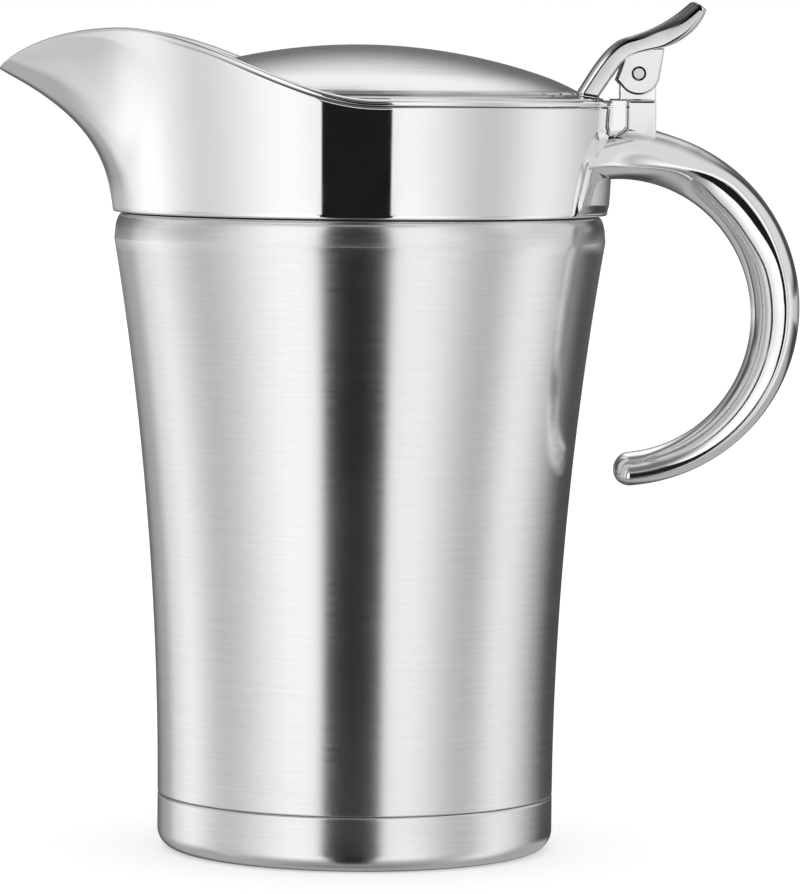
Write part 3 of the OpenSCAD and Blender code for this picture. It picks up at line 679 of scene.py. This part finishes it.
# the end of a ring drawn together inside the collar's wall
def gathered(ring, lift):
    middle = sum(p.z for p in ring) / len(ring)
    rings = []
    for share in (0.02, 0.2, 0.4, 0.6, 0.8, 0.94):
        places = [(p.y * share, mix(middle, p.z, share)) for p in ring]
        rings.append([Vector((seatX(y, z, lift), y, z)) for y, z in places])
    return rings


armRings = [gripRing(a) for a in spread(grip["rings"], grip["root"], grip["tail"])]
tailRings = []
for t in spread(9, 10, 89):
    s = math.radians(t)
    tailRings.append(gripRing(grip["tail"] - grip["tailSweep"] * math.sin(s), math.cos(s)))
gripShape = loft(gathered(armRings[0], grip["sink"]) + armRings + tailRings)


def flangeRing(inset, lift):
    low = flange["low"] + inset
    high = flange["high"] - inset
    wideLow = flange["wideLow"] - inset
    wideHigh = flange["wideHigh"] - inset
    soft = max(flange["cornerLeast"], flange["corner"] - inset)
    outline = rounded([(wideLow, low, soft), (wideHigh, high, soft), (-wideHigh, high, soft),
                       (-wideLow, low, soft)], flange["cornerSteps"], True)
    cornerPoints = len(outline) // 4
    dense = []
    for i, p in enumerate(outline):
        q = outline[(i + 1) % len(outline)]
        steps = flange["sideSteps"] if (i + 1) % cornerPoints == 0 else 1
        dense.extend(p.lerp(q, k / steps) for k in range(steps))
    return [Vector((seatX(p.x, p.y, lift), p.x, p.y)) for p in dense]


flangeRings = gathered(flangeRing(flange["backInset"], 0), flange["sink"])
flangeRings.append(flangeRing(flange["sideInset"], flange["sink"]))
for t in spread(16):
    lift = mix(flange["edge"], flange["lift"], ease(0, 1, t))
    flangeRings.append(flangeRing(flange["soft"] * t, lift))
flangeRings += gathered(flangeRing(flange["soft"], 0), flange["lift"])[::-1]
handleShape = merged(gripShape, loft(flangeRings))
addPiece("handle_look", handleShape, "jug", handleChrome, sharp=50)
print("handle made")

# hinge bracket: web and block with softened edges, post and knuckle round the pin
bracket = {"low": 150.6, "high": 160.6, "block": 56.45, "back": 62.55, "wide": 6.0, "web": 4.5,
           "webFlare": 0.6, "sink": 0.9, "edge": 0.8, "edgeGap": 0.012,
           "stepRound": 0.3, "frontRound": 0.5, "backRound": 0.45,
           "stepPoints": range(9, 15), "stepShade": 0.9}
post = {"radius": 3.8, "low": -14.0, "straight": -7.0, "ends": ((3.2, 0.3), (3.12, 0.1), (2.95, 0.0))}


def bracketRing(inset, z):
    wide = bracket["wide"] - inset
    web = bracket["web"] - inset
    block = bracket["block"] + inset
    back = bracket["back"] - inset
    near = collarAt(z) - bracket["sink"]
    half = [(near, web + bracket["webFlare"], 0), (block, web, bracket["stepRound"]),
            (block, wide, bracket["frontRound"]), (back, wide, bracket["backRound"])]
    other = [(c[0], -c[1], c[2]) for c in half[::-1]]
    return [Vector((p.x, p.y, z)) for p in rounded(half + other, 6, True)]


edge = bracket["edge"]
sideTop = bracket["high"] - edge - bracket["edgeGap"]
blockRings = [bracketRing(0.0, z) for z in spread(6, bracket["low"], sideTop)]
for t in spread(7, 0, 90):
    s = math.radians(t)
    blockRings.append(bracketRing(edge * (1 - math.cos(s)), bracket["high"] - edge * (1 - math.sin(s))))
postRadius = post["radius"]
postOutline = [(-postRadius, post["low"]), (postRadius, post["low"]), (postRadius, post["straight"])]
postOutline = [Vector(p) for p in postOutline + arc((0, 0), postRadius, 0, 180, 40)]
postStations = [(-y, inset) for y, inset in post["ends"]] + list(post["ends"][::-1])
postRings = []
for y, inset in postStations:
    ring = []
    for p in postOutline:
        q = p * (1 - inset / postRadius)
        ring.append(Vector((pin["x"] + q.x, y, pin["z"] + (q.y if p.y > post["straight"] else p.y))))
    postRings.append(ring)
bracketShape = merged(loft(blockRings), loft(postRings))
# painted shade in the step where the web meets the block
stepShade = []
for ring in blockRings:
    for k in range(len(ring)):
        inStep = k in bracket["stepPoints"] or len(ring) - 1 - k in bracket["stepPoints"]
        stepShade.append(bracket["stepShade"] if inStep else 0.0)
stepShade += [0.0] * (len(bracketShape[0]) - len(stepShade))
addPiece("hinge_bracket_look", bracketShape, "jug", handleChrome,
         sharp=35, paintedShade=stepShade)

pinIn = pin["radius"] - pin["chamfer"]
pinSide = pin["end"] - pin["chamfer"]
pinOutline = [(0, -pin["end"]), (pinIn, -pin["end"]), (pin["radius"], -pinSide),
              (pin["radius"], pinSide), (pinIn, pin["end"]), (0, pin["end"])]
pinOutline = rounded([(r, z, pin["round"] if r > 0 else 0) for r, z in pinOutline], 3)
pinPoints, pinFaces = lathe(pinOutline, 72)
pinPoints = [(pin["x"] + x, z, pin["z"] + y) for x, y, z in pinPoints]
addPiece("hinge_pin_look", (pinPoints, pinFaces), "jug", pinSteel, sharp=35)
print("hinge made")

# lid: satin dome with a rolled edge and a polished sloping flange
dome = {"apex": 171.6, "ball": 121.545, "droop": 0.5, "droopFrom": 38.0, "droopLong": 8.0, "cap": 45.2,
        "roll": 46.1, "rollRound": 0.8, "foot": 46.4, "footZ": 161.3, "footRound": 0.12,
        "rim": 51.5, "rimZ": 160.6, "rimRound": 0.3, "hemRound": 0.2, "under": 45.8, "sheet": 0.7,
        "paintedShade": 0.35, "shadeIn": (-0.4, -0.05), "shadeOut": (0.35, 0.05)}


def capAt(r, inset):
    droop = dome["droop"] * max(0.0, (r - dome["droopFrom"]) / dome["droopLong"]) ** 2
    return dome["apex"] - dome["ball"] + math.sqrt((dome["ball"] - inset) ** 2 - r * r) - droop


domeOutline = rounded(
    [(r, capAt(r, 0)) for r in spread(44, 0, dome["cap"])]
    + [(dome["roll"], capAt(dome["roll"], 0), dome["rollRound"])]
    + [(dome["foot"], dome["footZ"], dome["footRound"]), (dome["rim"], dome["rimZ"], dome["rimRound"])]
    + [(dome["rim"], dome["rimZ"] - dome["sheet"], dome["hemRound"])]
    + [(dome["under"], dome["footZ"] - dome["sheet"])]
    + [(r, capAt(r, dome["sheet"])) for r in spread(30, dome["cap"], 0)], 8)
domeShape = lathe(domeOutline)
# painted dark line round the dome's foot, in place of the step's dark reflection
footShade = []
for x, y, z in domeShape[0]:
    out = math.hypot(x, y) - dome["foot"]
    mark = dome["paintedShade"] * ease(*dome["shadeIn"], out) * ease(*dome["shadeOut"], out)
    footShade.append(mark if z > dome["footZ"] - dome["sheet"] / 2 else 0.0)
addPiece("lid_dome_look", domeShape, "lid", domeSteel, paintedShade=footShade)

# lever: strap and thumb tab between an upper and a lower curve, measured from the pin
lever = {"points": {"toe": (-12.9, -4.3), "heel": (-8.6, -5.24), "crest": (-2.4, 7.7),
                    "tip": (11.15, 15.2), "end": (13.9, 13.2), "neck": (4.9, 5.5), "bend": (-3.6, 2.1)},
         "rise": ((0.39, 0.07), (0.226, -0.145)), "tabTop": ((0.317, -0.08), (0.386, 0.098)),
         "arch": ((0.26, 0.152), (0.3, -0.05)), "tabUnder": ((0.314, -0.16), (0.256, 0.162)),
         "strap": 12.0, "tab": 15.0, "tabIn": (-2.0, 11.0), "cornerSteps": 10,
         "crown": 1.3, "tipCrown": 2.3, "crownIn": (3.5, 10.5), "crownMost": 0.68,
         "under": 0.45, "tipUnder": 0.95, "underIn": (3.0, 7.0), "underMost": 0.29,
         "endBulge": 0.14, "endTop": 0.34, "endPower": 0.8, "endUnder": 0.16, "endTrim": 0.9}
spots = {key: Vector(place) for key, place in lever["points"].items()}
upper = bow(spots["toe"], spots["crest"], *lever["rise"], 31)[:-1]
upper += bow(spots["crest"], spots["tip"], *lever["tabTop"], 31)
lower = [spots["heel"].lerp(spots["bend"], t) for t in spread(21)][:-1]
lower += bow(spots["bend"], spots["neck"], *lever["arch"], 23)[:-1]
lower += bow(spots["neck"], spots["end"], *lever["tabUnder"], 19)


def strapRing(t, b, trim):
    tall = (t - b).length
    middle = (t.x + b.x) / 2
    half = lever["strap"] / 2 - trim
    crown = mix(lever["crown"], lever["tipCrown"], ease(*lever["crownIn"], middle))
    crown = min(crown, lever["crownMost"] * tall)
    under = mix(lever["under"], lever["tipUnder"], ease(*lever["underIn"], middle))
    under = min(under, lever["underMost"] * tall)
    outline = rounded([(-half, 0, under), (-half, tall, crown), (half, tall, crown), (half, 0, under)],
                      lever["cornerSteps"], True)
    ring = []
    for p in outline:
        q = b + (t - b) * (p.y / tall)
        gain = (lever["tab"] - lever["strap"]) / 2 * ease(*lever["tabIn"], q.x)
        ring.append(Vector((pin["x"] + q.x, p.x + math.copysign(gain, p.x), pin["z"] + q.y)))
    return ring


strapRings = [strapRing(t, b, 0) for t, b in zip(upper, lower)]
bulge = turned(spots["end"] - spots["tip"], (0, lever["endBulge"]))
for t in spread(7, 12, 84):
    s = math.radians(t)
    closing = 1 - math.cos(s)
    near = spots["tip"].lerp(spots["end"], lever["endTop"] * closing ** lever["endPower"])
    away = spots["tip"].lerp(spots["end"], 1 - lever["endUnder"] * closing)
    out = bulge * math.sin(s)
    strapRings.append(strapRing(near + out, away + out, lever["endTrim"] * closing))

# ears: one each side of the knuckle, with the pin's hole and a bevelled edge
ears = {"in": 3.4, "out": 5.9, "hole": 1.36, "middle": 2.4,
        "holeEdge": ((0.06, 0.0), (0.02, 0.02), (0.0, 0.06), (0.0, 0.08)),
        "bevel": 0.4, "bevelGap": 0.02, "bevelRows": range(8, 15), "count": 180,
        "round": 4.5, "roundFrom": 215.0, "corners": ((5.4, 5.4), (-2.4, 5.4), (-4.68, -1.4)),
        "dimTurn": 205.0, "dimIn": (-0.1, 0.5), "paintedShade": (0.3, 0.92)}
earOutline = arc((0, 0), ears["round"], ears["roundFrom"], 360, 40) + list(ears["corners"])
earOutline = [Vector(p) for p in earOutline]


def earReach(turn):
    ray = Vector((math.cos(turn), math.sin(turn)))
    best = 0.0
    for i, p in enumerate(earOutline):
        q = earOutline[(i + 1) % len(earOutline)]
        side = q - p
        cross = ray.x * side.y - ray.y * side.x
        if abs(cross) < 1e-9:
            continue
        reach = (p.x * side.y - p.y * side.x) / cross
        along = (p.x * ray.y - p.y * ray.x) / cross
        if reach > 0 and -1e-6 <= along <= 1 + 1e-6:
            best = max(best, reach)
    return best


earTurns = spread(ears["count"] + 1, 0, 2 * math.pi)[:-1]
reaches = [earReach(turn) for turn in earTurns]


def earRing(y, radius=None, inset=0.0):
    ring = []
    for turn, reach in zip(earTurns, reaches):
        r = radius or reach - inset
        ring.append(Vector((pin["x"] + r * math.cos(turn), y, pin["z"] + r * math.sin(turn))))
    return ring


def ear(side):
    low = side * ears["in"]
    high = side * ears["out"]
    bevel = ears["bevel"]
    gap = ears["bevelGap"]
    rings = [earRing(low, ears["hole"])]
    rings += [earRing(high - side * down, ears["hole"] + out) for down, out in ears["holeEdge"]]
    rings += [earRing(high, ears["middle"]), earRing(high, inset=bevel + gap)]
    for t in spread(8, 0, 90):
        s = math.radians(t)
        rings.append(earRing(high - side * bevel * (1 - math.cos(s)), inset=bevel * (1 - math.sin(s))))
    rings += [earRing(high - side * (bevel + gap)), earRing(low), earRing(low, ears["middle"])]
    return loft(rings, loop=True)


# foot: a thin plate on the lid's flange, under the strap and to both sides of it
foot = {"half": 9.95, "crowd": 0.85, "in": 46.95, "out": 50.6, "outZ": 160.75, "outLow": 160.76,
        "edge": 0.12, "rise": 0.5, "fall": (5.2, 9.9), "fallPower": 1.6, "round": 0.1}


def footPlate():
    rings = []
    for t in spread(29, -1, 1):
        y = foot["half"] * power(t, foot["crowd"])
        tall = foot["edge"] + foot["rise"] * (1 - ease(*foot["fall"], abs(y))) ** foot["fallPower"]
        outline = [(foot["in"], dome["footZ"]), (foot["in"], dome["footZ"] + tall, foot["round"]),
                   (foot["out"], foot["outZ"] + tall, foot["round"]), (foot["out"], foot["outLow"])]
        outline = rounded(outline, 5)
        rings.append([Vector((math.sqrt(p.x ** 2 - y * y), y, p.y)) for p in outline])
    return loft(rings)


# painted dark reflection on the crown and painted shade on the under side, strongest along the creases:
# step 0 is the strap's face, the last step its top or its under side
def crownShade(step, x):
    crest = ease(-8.0, -5.5, x)
    tip = 0.6 * ease(5.0, 10.0, x)
    if step == 0:
        return 0.3
    if step == 1:
        return mix(0.9, 0.98, crest)
    if step < 5:
        return max(tip, crest * (0.98, 0.92, 0.6)[step - 2])
    return max(tip, mix(0.4, 0.3, crest))


def underShade(step, x):
    line = 0.9 * ease(-2.5, -4.5, x) if step in (1, 2, 3) else 0.0
    tip = 0.4 * ease(3.0, 8.0, x) if step > 1 else 0.0
    return max(line, tip)


# the lever's painted shade, point by point
leverShade = []
for ring in strapRings:
    for k, p in enumerate(ring):
        corner, step = divmod(k, len(ring) // 4)
        step = min(lever["cornerSteps"], max(0, step - 1))
        step = step if corner in (1, 3) else lever["cornerSteps"] - step
        shadeAt = crownShade if corner in (1, 2) else underShade
        leverShade.append(shadeAt(step, p.x - pin["x"]))
earShapes = [ear(1), ear(-1)]
# painted shade on the ears' bevels, darkest on the side towards the dimTurn bearing
for earPoints, _ in earShapes:
    for j in range(len(earPoints) // len(earTurns)):
        for turn in earTurns:
            dim = ease(*ears["dimIn"], math.cos(turn - math.radians(ears["dimTurn"])))
            leverShade.append(mix(*ears["paintedShade"], dim) if j in ears["bevelRows"] else 0.0)
leverShape = merged(loft(strapRings), *earShapes, footPlate())
leverShade += [0.0] * (len(leverShape[0]) - len(leverShade))
addPiece("thumb_lever_look", leverShape, "lid", leverChrome, sharp=35, paintedShade=leverShade)
print("lid made")

# nodes whose own shape is right get a finish
finishes = {
    "outer_bottom": innerSteel, "vacuum_plug": beadBraze, "getter_pill": getterPowder,
    "throat_ring": ringPlastic, "lid_liner": ringPlastic, "neck_gasket": sealSilicone,
    "lid_gasket": sealSilicone, "handle_screws": turnedSteel, "bracket_screw": turnedSteel,
    "lever_screws": turnedSteel,
}
for name, material in finishes.items():
    mesh = nodes[name].data
    mesh.materials.clear()
    mesh.materials.append(material)
print("finishes set")

# floor: plain and pale, kept out of mirror reflections so that the studio alone shapes them
floorHalf = 6
floorCorners = [(-floorHalf, -floorHalf, 0), (floorHalf, -floorHalf, 0),
                (floorHalf, floorHalf, 0), (-floorHalf, floorHalf, 0)]
floorMesh = bpy.data.meshes.new("floor")
floorMesh.from_pydata(floorCorners, [], [(0, 1, 2, 3)])
floorMaterial, floorShader, floorField, floorPlace = newMaterial(
    "pale floor", Roughness=0.9, Emission_Strength=0.33, Emission_Color=(1, 1, 1, 1))
floorTone = tint(noise(floorField, floorPlace, 2.0, 0.5, 9.0), (0.8, 0.8, 0.8), (0.82, 0.82, 0.82))
floorField.tree.links.new(floorTone.out, floorShader.inputs["Base Color"])
floorMesh.materials.append(floorMaterial)
floor = bpy.data.objects.new("floor", floorMesh)
bpy.context.scene.collection.objects.link(floor)
floor.visible_glossy = False

# studio: two rows of soft panels round the jug as (bearing, strength), and a dark card
# bearings are degrees from the camera's side, positive to the right; heights are degrees over the level
studio = {
    "level": [(-180, 0.16), (-150, 0.5), (-113, 1.14), (-76, 0.72), (-32, 1.07), (-14, 0.955),
              (14, 0.955), (22, 1.0), (61, 0.61), (93, 0.9), (135, 0.585), (166, 0.14), (180, 0.16)],
    "outer": [(-168, 0.118), (-140, 0.4), (-124, 0.88), (-110, 1.08), (-81, 0.6), (-33, 1.18),
              (30, 1.08), (66, 0.55), (90, 1.0), (144, 0.06), (168, 0.07)],
    "cardTurn": -1.4, "cardHalf": (16.3, 15.3), "cardDark": 0.012,
    "zenithDark": 0.18, "zenithPale": 0.74,
}


def panels(bearing, stops):
    made = bearing.tree.nodes.new("ShaderNodeValToRGB")
    bearing.tree.links.new(bearing.out, made.inputs[0])
    made.color_ramp.interpolation = "EASE"
    elements = made.color_ramp.elements
    for i, (where, value) in enumerate(stops):
        spot = elements[i] if i < 2 else elements.new(0.999)
        spot.position = (where + 180) / 360
        spot.color = (value, value, value, 1)
    return Field(bearing.tree, made.outputs[0])


# how far a value lies inside all the ranges, each given from where it begins to where it is full
def within(value, *ranges):
    share = between(value, *ranges[0])
    for low, high in ranges[1:]:
        share = share * between(value, low, high)
    return share


world = bpy.data.worlds.new("studio")
bpy.context.scene.world = world
world.use_nodes = True
room = Field(world.node_tree)
eastX, northY, upZ = axes(room, room.node("ShaderNodeTexCoord", {}, out=0))
turn = room.maths("ARCTAN2", eastX, northY * -1.0) * (180 / math.pi)
height = room.maths("ARCSINE", upZ) * (180 / math.pi)
bearing = turn / 360 + 0.5
away = room.maths("ABSOLUTE", turn)
ahead = room.maths("COSINE", turn * (math.pi / 360))
aside = between(away, 85.0, 125.0)
back = between(away, 150.0, 165.0)
left = within(turn, (-85.0, -105.0), (-162.0, -150.0))
leftBack = within(turn, (-112.0, -146.0))
right = within(turn, (70.0, 95.0), (146.0, 130.0))
rightBack = within(turn, (105.0, 125.0), (176.0, 166.0))

# one row of panels fills a band about the level, which dips in front; the other shows under and over it
bandEnd = ahead * -4.85 - 2.6
outerFull = ahead * -2.85 - 5.2
outer = between(height, bandEnd, outerFull)
outer = blend(left, outer, between(height, -3.5, -8.3))
outer = room.maths("MAXIMUM", outer, between(height, 2.0 - aside * 2.7, 6.0 - aside * 4.6))
light = blend(outer, panels(bearing, studio["level"]), panels(bearing, studio["outer"]))

# a dark card in front, open at the level, and a little wider below the band
card = room.maths("ABSOLUTE", turn - studio["cardTurn"])
card = card - within(height, (-7.7, -8.0), (-26.0, -22.0))
card = card - within(height, (-7.7, -8.0), (-9.4, -8.7)) * 2.0
cardTall = within(height, (-0.85, -1.3), (-80.0, -56.0)) + within(height, (0.9, 1.4), (50.0, 40.0))

# patches laid over the panels one after another, each with its share and its strength
zenith = between(height, 30 + back * 20, 58 + back * 6)
zenithLight = blend(between(turn, 24.0, 48.0), studio["zenithDark"], studio["zenithPale"])
patches = {
    "left floor": (within(height, (-9.0, -34.0)) * left, 0.44),
    "left upper wall": (within(height, (1.0, 7.0)) * within(turn, (-60.0, -100.0)) * 0.26, 0.0),
    "left back wall": (within(height, (-3.4, -0.8), (24.0, 13.0)) * leftBack * 0.3, 0.0),
    "right wall": (within(height, (2.5, 8.0)) * right, 0.74),
    "right floor": (within(height, (-10.0, -16.0)) * rightBack, 0.44),
    "floor": (within(height, (-26.0, -64.0)), 0.44),
    "floor underneath": (within(height, (-58.0, -90.0)), 0.24),
    "card": (between(card, *studio["cardHalf"]) * cardTall, studio["cardDark"]),
    "back wall": (within(height, (0.0, 4.0)) * back, 0.12),
    "back window": (within(height, (17.0, 42.0)) * back, 1.12),
    "ceiling": (zenith, zenithLight),
    "overhead": (within(height, (66.0, 84.0)), 0.7),
}
for share, strength in patches.values():
    light = blend(share, light, strength)

# only mirror reflections see the panels; all else is lit plainly
mirrored = room.node("ShaderNodeLightPath", {}, out="Is Glossy Ray")
light = blend(mirrored, 1.0, light)
background = world.node_tree.nodes["Background"]
world.node_tree.links.new(light.out, background.inputs["Strength"])
background.inputs["Color"].default_value = (1, 1, 1, 1)

# camera: the photograph's view
view = {"place": (0.008979, -1.14618, 0.16606), "tilt": 4.003, "roll": 0.582, "lens": 216.43,
        "sensor": 36.0, "far": 100.0}
cameraData = bpy.data.cameras.new("camera")
cameraData.lens = view["lens"]
cameraData.sensor_width = view["sensor"]
cameraData.clip_end = view["far"]
camera = bpy.data.objects.new("camera", cameraData)
bpy.context.scene.collection.objects.link(camera)
tilt = Matrix.Rotation(math.radians(90 - view["tilt"]), 4, "X")
roll = Matrix.Rotation(math.radians(view["roll"]), 4, "Z")
camera.matrix_world = Matrix.Translation(view["place"]) @ tilt @ roll
bpy.context.scene.camera = camera
bpy.context.scene.view_settings.view_transform = "Standard"
print("studio made")
